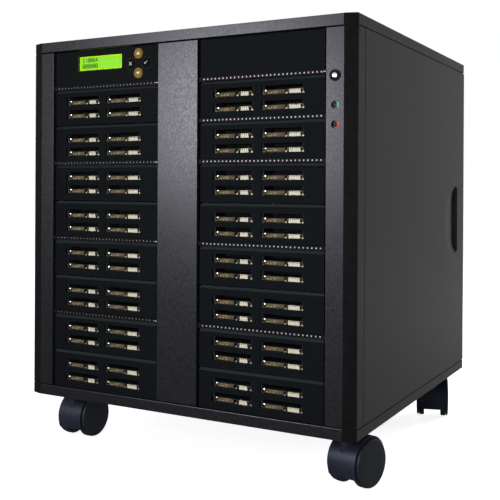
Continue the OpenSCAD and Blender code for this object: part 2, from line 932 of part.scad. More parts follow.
// Fan rotor with seven blades
module psu_fan() {
  color([0.1, 0.1, 0.1])
  difference() {
    union() {
      rod_y(15, fan_x, fan_z, psu_y1 - 24, psu_y1 - 5);
      for (i = [0 : 6])
        translate([fan_x, psu_y1 - 14, fan_z])
          rotate([0, i * 360 / 7, 0])
            translate([fan_r - 13, 0, 0])
              rotate([40, 0, 0])
                cube([24, 1.4, 20], center = true);
    }
    rod_y(2.5 + fit, fan_x, fan_z, psu_y1 - 30, psu_y1);
  }
}

// Moulded mains inlet with the frame of the rocker switch above it
module power_inlet() {
  y1 = rear_y + rear_proud;
  color([0.07, 0.07, 0.07])
  difference() {
    union() {
      block([inlet_x - 16, psu_y1, inlet_z - 12], [inlet_x + 16, y1, rocker_z + 12]);
      block([inlet_x - 13.8, psu_y1 - 24, inlet_z - 10], [inlet_x + 13.8, y1 - 1, inlet_z + 10]);
      block([inlet_x - 13.8, psu_y1 - 20, rocker_z - 10], [inlet_x + 13.8, y1 - 1, rocker_z + 10]);
    }
    block([inlet_x - 12, psu_y1 - 17, inlet_z - 8.2], [inlet_x + 12, y1 + 1, inlet_z + 8.2]);
    block([inlet_x - 10, psu_y1 - 17, rocker_z - 7.6], [inlet_x + 10, y1 + 1, rocker_z + 7.6]);
    translate([inlet_x - 12.5, rear_y - 6, rocker_z])
      rotate([0, 90, 0])
        cylinder(r = 1.5, h = 25);
  }
}

// Rocker of the mains switch, resting in its off position
module power_rocker() {
  color([0.12, 0.12, 0.12])
  translate([inlet_x, rear_y - 6, rocker_z])
    rotate([7, 0, 0])
      union() {
        plate_x(-9.6, 19.2)
          polygon([[-6, -4], [3, -6.8], [6.9, -6.6], [6, 0], [6.9, 6.6], [3, 6.8], [-6, 4]]);
        translate([-12.2, 0, 0])
          rotate([0, 90, 0])
            cylinder(r = 1.45, h = 24.4);
      }
}

// Sleeves in the base pan that take the caster stems
module caster_sockets() {
  color([0.5, 0.5, 0.52])
  for (s = [-1, 1])
    for (y = [front_stem, rear_stem])
      translate([s * stem_x, front_y + y, base_z])
        difference() {
          union() {
            translate([0, 0, -1.5])
              cylinder(r = stem_r + 7, h = 1.5);
            translate([0, 0, -1])
              cylinder(r = stem_r + 2.25, h = sleeve_h + 1);
          }
          translate([0, 0, -3])
            cylinder(r = stem_r + fit, h = sleeve_h + 6);
        }
}

// Places its children at the stem of one caster, turned about it
module at_caster(s, y, turn) {
  translate([s * stem_x, front_y + y, 0])
    rotate([0, 0, turn])
      children();
}

// Caster hood: cover over both wheels, web between them and neck of the stem
module hood() {
  color([0.13, 0.14, 0.16])
  difference() {
    union() {
      intersection() {
        translate([-hood_half, trail, wheel_r])
          rotate([0, 90, 0])
            cylinder(r = hood_r, h = 2 * hood_half);
        union() {
          block([-40, -60, hood_z], [40, trail + 6, base_z]);
          block([-40, trail + 5, wheel_r + 4], [40, 90, base_z]);
        }
      }
      translate([0, 0, neck_z])
        cylinder(r = neck_r, h = base_z - 2 - neck_z);
    }
    for (s = [0, 1])
      mirror([s, 0, 0])
        difference() {
          translate([web_t / 2, trail, wheel_r])
            rotate([0, 90, 0])
              cylinder(r = hood_r - hood_t, h = 30);
          translate([0, 0, neck_z])
            cylinder(r = neck_r, h = 60);
        }
    translate([-30, trail, wheel_r])
      rotate([0, 90, 0])
        cylinder(r = axle_r + 0.02, h = 60);
    translate([0, 0, wheel_r + 14])
      cylinder(r = stem_r + 0.02, h = 60);
  }
}

// Steel stem and axle of one caster
module pins() {
  color([0.6, 0.6, 0.62])
  union() {
    translate([0, 0, wheel_r + 14])
      cylinder(r = stem_r, h = base_z + sleeve_h - 0.5 - wheel_r - 14);
    translate([-caster_w / 2 + 2, trail, wheel_r])
      rotate([0, 90, 0])
        cylinder(r = axle_r, h = caster_w - 4);
  }
}

// One caster wheel: hub, tread, groove and round-edged cap, on the left or right end of the axle
module wheel(s) {
  hub_r = 9;
  cap_r = wheel_r - 0.4;
  a0 = caster_w / 2 - wheel_w;
  a1 = caster_w / 2;
  bore = axle_r + fit;
  groove = a1 - rim_w + 0.2;
  color([0.16, 0.17, 0.19])
  translate([0, trail, wheel_r])
    rotate([0, s * 90, 0])
      rotate_extrude()
        polygon(concat(
          [[bore, web_t / 2 + hub_gap], [hub_r, web_t / 2 + hub_gap], [hub_r, a0], [wheel_r - 1, a0],
            [wheel_r, a0 + 1], [wheel_r, groove], [wheel_r - 2, groove],
            [wheel_r - 2, groove + groove_w], [cap_r, groove + groove_w]],
          [for (t = [0 : 18 : 90])
            [cap_r - rim_r + rim_r * cos(t), a1 - 0.4 - rim_r + rim_r * sin(t)]],
          [[cap_r - 9, a1], [0, a1], [0, a1 - 1.6], [bore, a1 - 1.6]]));
}

module caster_fl_hood() {
  at_caster(-1, front_stem, 0)
    hood();
}

module caster_fl_pins() {
  at_caster(-1, front_stem, 0)
    pins();
}

module caster_fl_wheel_l() {
  at_caster(-1, front_stem, 0)
    wheel(-1);
}

module caster_fl_wheel_r() {
  at_caster(-1, front_stem, 0)
    wheel(1);
}

module caster_fr_hood() {
  at_caster(1, front_stem, -outward_turn)
    hood();
}

module caster_fr_pins() {
  at_caster(1, front_stem, -outward_turn)
    pins();
}

module caster_fr_wheel_l() {
  at_caster(1, front_stem, -outward_turn)
    wheel(-1);
}

module caster_fr_wheel_r() {
  at_caster(1, front_stem, -outward_turn)
    wheel(1);
}

module caster_rl_hood() {
  at_caster(-1, rear_stem, outward_turn)
    hood();
}

module caster_rl_pins() {
  at_caster(-1, rear_stem, outward_turn)
    pins();
}

module caster_rl_wheel_l() {
  at_caster(-1, rear_stem, outward_turn)
    wheel(-1);
}

module caster_rl_wheel_r() {
  at_caster(-1, rear_stem, outward_turn)
    wheel(1);
}

module caster_rr_hood() {
  at_caster(1, rear_stem, inward_turn)
    hood();
}

module caster_rr_pins() {
  at_caster(1, rear_stem, inward_turn)
    pins();
}

module caster_rr_wheel_l() {
  at_caster(1, rear_stem, inward_turn)
    wheel(-1);
}

module caster_rr_wheel_r() {
  at_caster(1, rear_stem, inward_turn)
    wheel(1);
}

base_pan();
top_cover();
front_frame();
rear_panel();
left_panel();
right_panel();
top_rail();
bottom_rail();
left_stile();
centre_pillar();
right_stile();
corner_bars();
vent_strips();
control_panel();
display_module();
control_board();
button_up();
button_down();
button_cancel();
button_accept();
blank_panel();
power_switch();
power_button();
power_lamp();
activity_lamp();
card_faces_left_1();
card_faces_left_2();
card_faces_left_3();
card_faces_left_4();
card_faces_right_1();
card_faces_right_2();
card_faces_right_3();
card_faces_right_4();
card_faces_right_5();
card_sockets();
socket_shields();
reader_boards();
drive_cages();
controller_board();
power_supply();
psu_fan();
power_inlet();
power_rocker();
caster_sockets();
caster_fl_hood();
caster_fl_pins();
caster_fl_wheel_l();
caster_fl_wheel_r();
caster_fr_hood();
caster_fr_pins();
caster_fr_wheel_l();
caster_fr_wheel_r();
caster_rl_hood();
caster_rl_pins();
caster_rl_wheel_l();
caster_rl_wheel_r();
caster_rr_hood();
caster_rr_pins();
caster_rr_wheel_l();
caster_rr_wheel_r();
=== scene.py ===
"""Memory-card duplicator tower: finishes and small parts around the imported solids.

Metres, with the floor at Z = 0, the front facing -Y and its right-hand side at +X.
"""
import math

import bmesh
import bpy
from mathutils import Matrix, Vector


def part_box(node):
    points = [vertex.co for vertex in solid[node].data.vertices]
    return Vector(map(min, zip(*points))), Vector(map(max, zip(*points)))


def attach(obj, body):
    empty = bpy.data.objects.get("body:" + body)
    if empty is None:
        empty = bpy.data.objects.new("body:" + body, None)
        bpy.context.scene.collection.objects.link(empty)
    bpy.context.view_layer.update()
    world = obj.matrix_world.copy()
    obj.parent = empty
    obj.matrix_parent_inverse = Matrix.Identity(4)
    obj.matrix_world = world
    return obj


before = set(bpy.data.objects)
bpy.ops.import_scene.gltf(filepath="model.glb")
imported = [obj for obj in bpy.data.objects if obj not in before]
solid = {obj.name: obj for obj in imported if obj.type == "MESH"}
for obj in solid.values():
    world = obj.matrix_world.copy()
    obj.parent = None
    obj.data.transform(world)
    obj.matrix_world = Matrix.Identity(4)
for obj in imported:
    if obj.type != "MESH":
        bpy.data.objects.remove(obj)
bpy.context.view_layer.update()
scene = bpy.context.scene

MM = 0.001

# Places that the solids fix, in millimetres
TOP = 475
BASE = TOP - 414
HALF_WIDTH = 205
REAR_Y = 199
BAY_CENTRE = 99.5
BAY_PITCH = 43.4
FIRST_BAY_TOP = TOP - 11.7
CARD_BAYS = range(1, 9)
SLOT_STEP = 57.4
SLOT_SHIFT = 3.5
MOUTH_DROP = 14.6
ROW_STEP = 15.4
MOUTH_DEPTH = 21
FACE_Y = -196.5
STRIP_Y = -196.9
SOCKET_Y = -194.2


def linear(code):
    """Linear RGBA of an sRGB hex colour."""
    channels = [int(code[i:i + 2], 16) / 255 for i in (0, 2, 4)]
    return tuple(c / 12.92 if c <= 0.04045 else ((c + 0.055) / 1.055) ** 2.4
                 for c in channels) + (1.0,)


def per_metre(size):
    """Texture scale at which one cell or grain is this many millimetres wide."""
    return 1000 / size


def add(tree, kind, values=None, links=None, **settings):
    """Adds one shader node with its own settings, its socket values and its incoming links."""
    new = tree.nodes.new(kind)
    for key, value in settings.items():
        setattr(new, key, value)
    for key, value in (values or {}).items():
        new.inputs[key].default_value = value
    for key, source in (links or {}).items():
        tree.links.new(source, new.inputs[key])
    return new


def finish(name, specular=0.5, **sockets):
    """A new material: itself, its node tree, its shader and its object coordinates."""
    made = bpy.data.materials.new(name)
    made.use_nodes = True
    tree = made.node_tree
    tree.nodes.clear()
    shader = add(tree, "ShaderNodeBsdfPrincipled", {"Specular IOR Level": specular, **sockets})
    add(tree, "ShaderNodeOutputMaterial", links={"Surface": shader.outputs["BSDF"]})
    place = add(tree, "ShaderNodeTexCoord").outputs["Object"]
    return made, tree, shader, place


# Painted highlights on edges that slope up, by the height of the surface's normal: an edge starts to
# pale at the first value and is fully pale at the second. A surface is level, and has no painted
# highlight, from the third, and a full painted highlight again at the fourth.
HIGHLIGHT_RISE = (0.2, 0.45)
HIGHLIGHT_LEVEL = (0.98, 0.9)


def grained(name, dark, light, grain, bump, rough, contrast=(0.35, 0.65), detail=2.0, painted_highlight=None,
            **sockets):
    """A surface of two tones in grains of a given size, with relief and uneven gloss.

    The grain is one size in millimetres, or three where it is drawn out along an axis. A painted
    highlight is a paler tone painted on edges that slope up, where they would catch the light.
    """
    made, tree, shader, place = finish(name, **sockets)
    if isinstance(grain, tuple):
        scale = 1.0
        sizes = [per_metre(size) for size in grain]
        drawn_out = add(tree, "ShaderNodeMapping", {"Scale": sizes}, {"Vector": place})
        place = drawn_out.outputs["Vector"]
    else:
        scale = per_metre(grain)
    noise = add(tree, "ShaderNodeTexNoise", {"Scale": scale, "Detail": detail}, {"Vector": place})
    grains = noise.outputs["Fac"]
    ramp = add(tree, "ShaderNodeValToRGB", links={"Fac": grains})
    for stop, at, colour in zip(ramp.color_ramp.elements, contrast, (dark, light)):
        stop.position = at
        stop.color = linear(colour)
    tone = ramp.outputs["Color"]
    if painted_highlight:
        normal = add(tree, "ShaderNodeNewGeometry").outputs["Normal"]
        height = add(tree, "ShaderNodeSeparateXYZ", links={"Vector": normal}).outputs["Z"]
        rise, level = [add(tree, "ShaderNodeMapRange", {"From Min": low, "From Max": high},
                           {"Value": height}).outputs["Result"]
                       for low, high in (HIGHLIGHT_RISE, HIGHLIGHT_LEVEL)]
        edge = add(tree, "ShaderNodeMath", links={0: rise, 1: level}, operation="MULTIPLY")
        tone = add(tree, "ShaderNodeMix", {"B": linear(painted_highlight)},
                   {"Factor": edge.outputs[0], "A": tone}, data_type="RGBA").outputs["Result"]
    gloss = add(tree, "ShaderNodeMapRange", {"To Min": rough[0], "To Max": rough[1]},
                {"Value": grains})
    relief = add(tree, "ShaderNodeBump", {"Strength": 1.0, "Distance": bump * MM},
                 {"Height": grains})
    tree.links.new(tone, shader.inputs["Base Color"])
    tree.links.new(gloss.outputs["Result"], shader.inputs["Roughness"])
    tree.links.new(relief.outputs["Normal"], shader.inputs["Normal"])
    return made


# Powder-coated steel: satin, warm dark grey, with a faint orange peel. The peel is about 0.6 mm on
# the real sheet and drawn at 1.4 mm so that it shows.
powder_coat = grained("powder_coated_steel", "312f2f", "3a3737", 1.4, 0.035, (0.5, 0.62),
                      specular=0.05)

# Spark-textured ABS: charcoal with fine specks and a broad sheen that fades away from the light.
# The grit is about 0.5 mm, drawn at 1.8 mm so that it shows.
# Its edges that slope up, such as the bottom rail's top edge, get a painted highlight in the paler
# tone 2e2f33.
textured_abs = grained("spark_textured_abs", "161519", "1b1a1f", 1.8, 0.04, (0.22, 0.48),
                       (0.36, 0.64), 1.0, painted_highlight="2e2f33", specular=0.1,
                       **{"Specular Tint": linear("f4f2ff")})

# Polished ABS: smooth near-black corner bars with a faint, soft reflection and a slight waviness,
# about 9 mm from crest to crest.
polished_abs = grained("polished_black_abs", "0f0f10", "141415", 9.0, 0.02, (0.48, 0.55),
                       specular=0.02)

# Moulded ABS: the near-black bay faces with a faint green cast and almost no gloss. The grain is
# about 0.4 mm, drawn at 1.6 mm so that it shows.
# The top bevels of the bay faces get a painted highlight in the paler tone 2a3033.
moulded_abs = grained("moulded_black_abs", "121517", "16191c", 1.6, 0.03, (0.6, 0.7),
                      painted_highlight="2a3033", specular=0.004)

# Screen-printed panel film: the smooth matt black of the control panel and the blank panel. Its
# tooth is about 0.2 mm, drawn at 1.2 mm so that it shows.
panel_film = grained("screen_printed_panel_film", "141719", "181b1d", 1.2, 0.012,
                     (0.65, 0.75), specular=0.004)

# Moulded ABS of the vent strips: blacker than the bay faces, with the same grain.
vent_abs = grained("moulded_vent_abs", "0a0a0c", "101012", 1.6, 0.03, (0.6, 0.7), specular=0.03)

# Moulded liquid-crystal polymer: the dark grey socket bodies, with flow marks 2.5 mm wide.
socket_polymer = grained("moulded_black_polymer", "1e2224", "262a2c", 2.5, 0.02, (0.5, 0.65),
                         specular=0.004)

# Moulded ivory polymer: the pale latch blocks below the card mouths, with flow marks 3 mm wide.
ivory_polymer = grained("moulded_ivory_polymer", "cfc6b0", "e2dac6", 3.0, 0.02, (0.5, 0.6),
                        specular=0.05)

# Moulded nylon: blue-black hoods and wheels with a soft waxy sheen over dimples 2 to 3 mm wide.
hood_nylon = grained("moulded_nylon_hood", "1c1e27", "262a36", 2.6, 0.07, (0.4, 0.5),
                     specular=0.13, **{"Specular Tint": linear("d4deff")})
wheel_nylon = grained("moulded_nylon_wheel", "212329", "292c33", 2.2, 0.03, (0.42, 0.52),
                      specular=0.08)

# Moulded glass-filled polyester: the black fan and mains fittings, clouded by fibres in patches
# 2 to 3 mm wide.
fan_polyester = grained("moulded_polyester_fan", "101010", "1b1b1b", 3.0, 0.03, (0.45, 0.6))
inlet_polyester = grained("moulded_polyester_inlet", "0d0d0d", "181818", 2.0, 0.02, (0.4, 0.5))
switch_polyester = grained("moulded_polyester_switch", "0c0b0b", "131212", 2.0, 0.01, (0.45, 0.55),
                           specular=0.02)

# Needled polyester felt: soft black pleats behind the rear vents, with tufts 2 mm wide.
filter_felt = grained("needled_polyester_felt", "0b0b0c", "161617", 2.0, 0.1, (0.8, 0.9),
                      specular=0.02)

# Key caps: moulded satin black ABS, clouded every 2 mm, and ABS under a gold film whose flakes vary
# the tone. The flakes are about 0.1 mm, drawn at 0.9 mm so that they show.
black_key = grained("moulded_black_key_abs", "0d0f10", "121415", 2.0, 0.01, (0.5, 0.6),
                    specular=0.004)
gold_key = grained("gold_filmed_key_abs", "7d6328", "957833", 0.9, 0.01, (0.45, 0.55),
                   specular=0.01)

# Screen-printed inks: matt olive lines round the keys and matt white marks on them. The ink is
# uneven at about 0.2 mm, drawn at 0.8 mm so that it shows.
# The same olive also paints a highlight on the left edge of the display window.
olive_ink_and_highlight = grained("screen_printed_olive_ink", "3c3716", "4a441f", 0.8, 0.005, (0.6, 0.7),
                    specular=0.01)
white_ink = grained("screen_printed_white_ink", "dededc", "f0f0ee", 0.8, 0.005, (0.6, 0.7),
                    specular=0.05)

# Solder mask over glass-fibre board: glossy green, mottled by the weave at its 0.9 mm pitch.
solder_mask = grained("green_solder_mask_board", "12482a", "1d6a3c", 0.9, 0.01, (0.3, 0.45))


def plated(name, dark, light, spangle, rough):
    """A bare metal surface with spangles or tool marks of a given size."""
    return grained(name, dark, light, spangle, 0.008, rough, (0.3, 0.7), Metallic=1.0)


# Zinc-plated and galvanised steel: pale grey with crystal spangles 4 to 7 mm wide.
zinc_plate = plated("zinc_plated_steel", "a7a6ab", "cfccd4", 4.0, (0.32, 0.5))
galvanised = plated("galvanised_steel", "8f9092", "b9babd", 7.0, (0.3, 0.48))

# Turned steel: bright caster pins and screws. The tool marks are about 0.2 mm, drawn at 0.8 mm so
# that they show.
turned_steel = plated("turned_steel", "8c8c90", "b4b4b8", 0.8, (0.22, 0.34))

# Nickel plate: dulled to brown-grey on the spring feet, and still bright on the rivets. Its cloudy
# grain is finer than 0.5 mm, drawn at 1 to 1.5 mm so that it shows.
nickel_plate = plated("nickel_plated_steel", "48463f", "5a574f", 1.5, (0.5, 0.6))
bright_nickel = plated("bright_nickel_plate", "b9b6ad", "d2cfc6", 1.0, (0.25, 0.35))

# Drawn spring wire: the dark grey hooks and loops of the sockets, with drawing marks at 1.2 mm.
spring_wire = plated("drawn_spring_wire", "24221f", "302e2a", 1.2, (0.5, 0.6))

# Tin plate: the dull pinkish spring fingers in the vents, dimmed by a grey oxide in 1 mm patches.
tin_plate = grained("oxidised_tin_plate", "9a8a94", "b0a0aa", 1.0, 0.01, (0.5, 0.6), specular=0.1,
                    Metallic=0.1)

# Gold flash: paler on the pressed dimples of the leaves as a painted highlight, and darkened on the
# pins at the back of each mouth as painted shade, in patches of 1 mm.
gold_flash_painted_highlight = grained("gold_flashed_dimples", "857a5e", "9a8e70", 1.0, 0.01, (0.45, 0.55),
                     specular=0.05, Metallic=0.1)
gold_pins_painted_shade = grained("gold_flashed_pins", "1f1b12", "29241a", 1.0, 0.01, (0.55, 0.65),
                    specular=0.02, Metallic=0.1)

# Rolled phosphor bronze: rolling streaks about 9 mm long and 1.2 mm high. The leaves are bright
# enough to read as brown metal, and the shields behind them are darkened as painted shade inside the
# mouths.
STREAK = (9, 9, 1.2)
bronze = grained("rolled_phosphor_bronze", "5a4f3c", "6c604a", STREAK, 0.02, (0.4, 0.55),
                 (0.3, 0.72), 3.0, specular=0.02, Metallic=0.05)
bronze_painted_shade = grained("phosphor_bronze_painted_shade", "1b1812", "262119", STREAK, 0.02, (0.4, 0.55),
                      (0.3, 0.72), 3.0, specular=0.02, Metallic=0.1)

# Where the chrome dome's painted highlight is still full and where the dome is fully dark, in
# millimetres from its crown
DOME_HIGHLIGHT = 1.4
DOME_DARK = 3.2


def chrome_dome_painted_highlight(name, node):
    """Chrome over a dome: a painted highlight on the crown, fading to dark where the dome turns down
    into its ring.
    """
    made, tree, shader, place = finish(name, Metallic=1.0, Roughness=0.16)
    lo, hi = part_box(node)
    crown = Vector(((lo[0] + hi[0]) / 2, lo[1], (lo[2] + hi[2]) / 2))
    reach = add(tree, "ShaderNodeVectorMath", {1: crown}, {0: place}, operation="DISTANCE")
    turn = add(tree, "ShaderNodeMapRange",
               {"From Min": DOME_HIGHLIGHT * MM, "From Max": DOME_DARK * MM},
               {"Value": reach.outputs["Value"]})
    tone = add(tree, "ShaderNodeValToRGB", links={"Fac": turn.outputs["Result"]})
    tone.color_ramp.elements[0].color = linear("dcd6cc")
    tone.color_ramp.elements[1].color = linear("211f1d")
    tree.links.new(tone.outputs["Color"], shader.inputs["Base Color"])
    return made


# Chrome plate: a painted highlight on the crown, in a dark ring.
chrome_painted_highlight = chrome_dome_painted_highlight("chrome_plate_painted_highlight", "power_button")

# Glow of the display and of the lamps, and the display's character cells in millimetres
GLOW = 0.5
CELL_WIDTH = 3.55
CELL_HEIGHT = 6.4
CELL_GAP = 0.16


def lit_display(name):
    """Lit glass behind a polariser: yellow-green, with faintly brighter lines between its cells."""
    made, tree, shader, place = finish(name, 0.01, Roughness=0.4, **{"Emission Strength": GLOW})
    upright = add(tree, "ShaderNodeMapping", {"Rotation": (math.radians(90), 0, 0)},
                  {"Vector": place})
    cells = add(tree, "ShaderNodeTexBrick",
                {"Scale": per_metre(1), "Brick Width": CELL_WIDTH, "Row Height": CELL_HEIGHT,
                 "Mortar Size": CELL_GAP, "Color1": linear("7fcb2c"), "Color2": linear("7bc72a"),
                 "Mortar": linear("8cd43a")},
                {"Vector": upright.outputs["Vector"]}, offset=0.0)
    tree.links.new(cells.outputs["Color"], shader.inputs["Base Color"])
    tree.links.new(cells.outputs["Color"], shader.inputs["Emission Color"])
    return made


# Display glass: the lit pane, its brighter edge that drifts in tone every 4 mm, and its dark dots.
display_glass = lit_display("lit_display_glass")
display_edge = grained("lit_display_edge", "a6d806", "b2e20a", 4.0, 0.0, (0.5, 0.6),
                       specular=0.01,
                       **{"Emission Color": linear("b4ea10"), "Emission Strength": 0.3})
display_dots = grained("lit_display_dots", "06300a", "0a3a0e", 1.0, 0.0, (0.5, 0.6),
                       specular=0.01)

# Where a lamp's lens is still dark and where it is fully lit, across the machine in millimetres
LENS_DARK = 183.5
LENS_LIT = 184.5


def lens(name, dark, bright):
    """Tinted lamp lens: dark, with its lit chip glowing on the side at +X."""
    made, tree, shader, place = finish(name, 0.1, Roughness=0.2, **{"Emission Strength": GLOW})
    side = add(tree, "ShaderNodeSeparateXYZ", links={"Vector": place}).outputs["X"]
    lit = add(tree, "ShaderNodeMapRange", {"From Min": LENS_DARK * MM, "From Max": LENS_LIT * MM},
              {"Value": side})
    tone = add(tree, "ShaderNodeValToRGB", links={"Fac": lit.outputs["Result"]})
    tone.color_ramp.elements[0].color = linear(dark)
    tone.color_ramp.elements[1].color = linear(bright)
    tree.links.new(tone.outputs["Color"], shader.inputs["Base Color"])
    tree.links.new(tone.outputs["Color"], shader.inputs["Emission Color"])
    return made


# Cast epoxy lenses: glassy, dark green and dark red, with one lit spot each.
green_lens = lens("cast_green_epoxy", "06140d", "34b47c")
red_lens = lens("cast_red_epoxy", "120706", "d2201c")

# Faces closer than this, in millimetres, are joined, and flats within this angle become one
WELD_GAP = 0.01
FLAT_ANGLE = 1
# Edges that turn by more than this many degrees are rounded
SOLID_CORNER = 40
PIECE_CORNER = 35


def dress(material, *names):
    """Gives solids their finish."""
    for name in names:
        solid[name].data.materials.clear()
        solid[name].data.materials.append(material)


def break_edges(part, width, corner):
    """Rounds the edges of a part that turn by more than an angle, by a width in millimetres."""
    edge = part.modifiers.new("broken_edges", "BEVEL")
    edge.width = width * MM
    edge.segments = 2
    edge.limit_method = "ANGLE"
    edge.angle_limit = math.radians(corner)


def soften(width, *names):
    """Rounds the sharp edges of solids by a small width in millimetres."""
    for name in names:
        weld = solid[name].modifiers.new("joined_faces", "WELD")
        weld.merge_threshold = WELD_GAP * MM
        flats = solid[name].modifiers.new("joined_flats", "DECIMATE")
        flats.decimate_type = "DISSOLVE"
        flats.angle_limit = math.radians(FLAT_ANGLE)
        break_edges(solid[name], width, SOLID_CORNER)


CASTERS = ("fl", "fr", "rl", "rr")
CARD_FACES = ([f"card_faces_left_{i}" for i in range(1, 5)]
              + [f"card_faces_right_{i}" for i in range(1, 6)])
BEZEL = ("top_rail", "bottom_rail", "left_stile", "centre_pillar", "right_stile")
SHEETS = ("base_pan", "top_cover", "front_frame", "rear_panel", "left_panel", "right_panel")

dress(powder_coat, *SHEETS)
dress(textured_abs, *BEZEL)
dress(polished_abs, "corner_bars")
dress(moulded_abs, *CARD_FACES)
dress(panel_film, "control_panel", "blank_panel")
dress(vent_abs, "vent_strips")
dress(display_edge, "display_module")
dress(solder_mask, "control_board", "reader_boards", "controller_board")
dress(gold_key, "button_up", "button_down")
dress(black_key, "button_cancel", "button_accept", "power_rocker")
dress(switch_polyester, "power_switch")
dress(chrome_painted_highlight, "power_button")
dress(green_lens, "power_lamp")
dress(red_lens, "activity_lamp")
dress(socket_polymer, "card_sockets")
dress(bronze_painted_shade, "socket_shields")
dress(zinc_plate, "drive_cages")
dress(galvanised, "power_supply")
dress(fan_polyester, "psu_fan")
dress(inlet_polyester, "power_inlet")
dress(turned_steel, "caster_sockets")
for corner in CASTERS:
    dress(hood_nylon, f"caster_{corner}_hood")
    dress(turned_steel, f"caster_{corner}_pins")
    dress(wheel_nylon, f"caster_{corner}_wheel_l", f"caster_{corner}_wheel_r")

soften(0.5, *BEZEL, "front_frame")
soften(0.3, "top_cover", "base_pan", "left_panel", "right_panel")
soften(0.35, *CARD_FACES, "control_panel", "blank_panel")


def point(bm, x, y, z):
    """One vertex, in millimetres."""
    return bm.verts.new((x * MM, y * MM, z * MM))


def skin(bm, lines, closed=False):
    """Faces between each line of vertices and the next; closed lines run round to their start."""
    for a, b in zip(lines, lines[1:]):
        for i in range(len(a) if closed else len(a) - 1):
            j = (i + 1) % len(a)
            bm.faces.new((a[i], a[j], b[j], b[i]))


def box(bm, lo, hi):
    """A box between two corners, in millimetres."""
    corners = [point(bm, x, y, z)
               for x in (lo[0], hi[0]) for y in (lo[1], hi[1]) for z in (lo[2], hi[2])]
    for face in ((0, 1, 3, 2), (4, 6, 7, 5), (0, 4, 5, 1), (2, 3, 7, 6), (0, 2, 6, 4), (1, 5, 7, 3)):
        bm.faces.new([corners[i] for i in face])


def shifted(outline, x, z):
    """An outline of (x, z) points moved to a new origin."""
    return [(x + dx, z + dz) for dx, dz in outline]


def plate(bm, outline, y0, y1):
    """A flat outline of (x, z) points, in millimetres, made solid from y0 back to y1."""
    front, back = [[point(bm, x, y, z) for x, z in outline] for y in (y0, y1)]
    bm.faces.new(front)
    bm.faces.new(back[::-1])
    skin(bm, [front, back], closed=True)


def circle(bm, centre, radius, y, sides):
    """A circle of vertices about the Y axis through an (x, z) centre, in millimetres."""
    turns = [2 * math.pi * i / sides for i in range(sides)]
    return [point(bm, centre[0] + radius * math.cos(turn), y, centre[1] + radius * math.sin(turn))
            for turn in turns]


def lathe(bm, centre, y, profile, sides):
    """A shape turned about the Y axis: (radius, depth) pairs from a depth y, in millimetres."""
    loops = [circle(bm, centre, radius, y + depth, sides) for radius, depth in profile]
    skin(bm, loops, closed=True)
    bm.faces.new(loops[0][::-1])
    bm.faces.new(loops[-1])


def ring(bm, centre, outer, inner, y0, y1, sides=40):
    """A flat ring about the Y axis, in millimetres."""
    loops = [circle(bm, centre, radius, y, sides)
             for radius, y in ((outer, y1), (outer, y0), (inner, y0), (inner, y1))]
    skin(bm, loops + loops[:1], closed=True)


def place_in_scene(name, data):
    """A new object in the scene."""
    made = bpy.data.objects.new(name, data)
    scene.collection.objects.link(made)
    return made


def formed(name, bm, material):
    """A new object from a finished mesh, with its material."""
    mesh = bpy.data.meshes.new(name)
    bm.to_mesh(mesh)
    bm.free()
    mesh.materials.append(material)
    return place_in_scene(name, mesh)


def piece(name, bm, material, body, bevel=0.0, smooth=False):
    """Makes a part from its mesh, gives it its finish and lets it ride on a body."""
    bmesh.ops.recalc_face_normals(bm, faces=bm.faces)
    for face in bm.faces:
        face.smooth = smooth
    made = formed(name, bm, material)
    if bevel:
        break_edges(made, bevel, PIECE_CORNER)
    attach(made, body)
    return made


def thicken(part, name, thickness, offset):
    """Gives a sheet its thickness in millimetres."""
    wall = part.modifiers.new(name, "SOLIDIFY")
    wall.thickness = thickness * MM
    wall.offset = offset


# Card slots: where the small parts of each slot are, in millimetres from the slot's centre. The
# keys are the left and the right slot of a pair, as shares of the step between them.
SLOT_PLAN = {
    -0.5: {"hook": -22.6, "leaf": (-18.8, 1.7), "dimples": (-14.6, -11.4, -7.4), "lever": 4.5,
           "block": (8.3, 17.6), "teeth": 4, "foot": 23.4},
    0.5: {"hook": -23.8, "leaf": (-19.8, 2.4), "dimples": (-16.4, -13.2, -8.8), "lever": 3.7,
          "block": (6.6, 19.4), "teeth": 6, "foot": 23.8},
}
# Gap that keeps thin parts clear of the socket fronts
SOCKET_GAP = 0.05
# Latch blocks: foot, shoulder and tip below the mouth's floor, and the gaps beside each tooth
BLOCK_FOOT = 4.7
BLOCK_SHOULDER = 1.5
TOOTH_TIP = 0.2
TOOTH_GAPS = (0.45, 0.35)
# Outlines of the bent parts, from each part's place in the plan and the mouth's floor
LEVER_FOOT = [(-1.2, -4.8), (1.0, -4.8), (1.3, -3.5), (0.3, -3.0), (-0.9, -3.7)]
END_FOOT = [(-2.9, -4.8), (0.2, -4.8), (-0.2, -3.7), (-1.5, -2.9), (-2.6, -3.5)]
RAIL_HOOK = [(4.0, -0.3), (1.9, -0.6), (0.3, -1.9), (0.0, -3.3), (0.9, -4.7), (3.4, -4.8),
             (3.4, -4.1), (1.5, -4.0), (0.8, -3.2), (1.0, -2.3), (2.2, -1.3), (4.0, -1.1)]
# Turned shapes, as (radius, depth) pairs, and where they sit: right of the hook's place, and below
# the mouth's floor
RIVET = [(1.1, 0.4), (1.1, -0.25), (0.85, -0.6), (0.35, -0.8)]
RIVET_SHIFT = 4.2
RIVET_DROP = 0.9
DIMPLE = [(1.15, 0.2), (1.0, -0.2), (0.6, -0.45), (0.15, -0.55)]
DIMPLE_DROP = 3.2
STUD_SIDES = 12
# Bronze leaves: lower edge below the mouth's floor, height, bow and sheet thickness
LEAF_DROP = 4.7
LEAF_HEIGHT = 4.4
LEAF_BOW = 0.5
LEAF_SHEET = 0.2
LEAF_STEPS = 6
# Contact pins, at the card's own pitch
PINS = 25
PIN_PITCH = 1.27
PIN_ROWS = (1.45, 2.95)
PIN_LENGTH = 3.2
PIN_HALF = 0.2


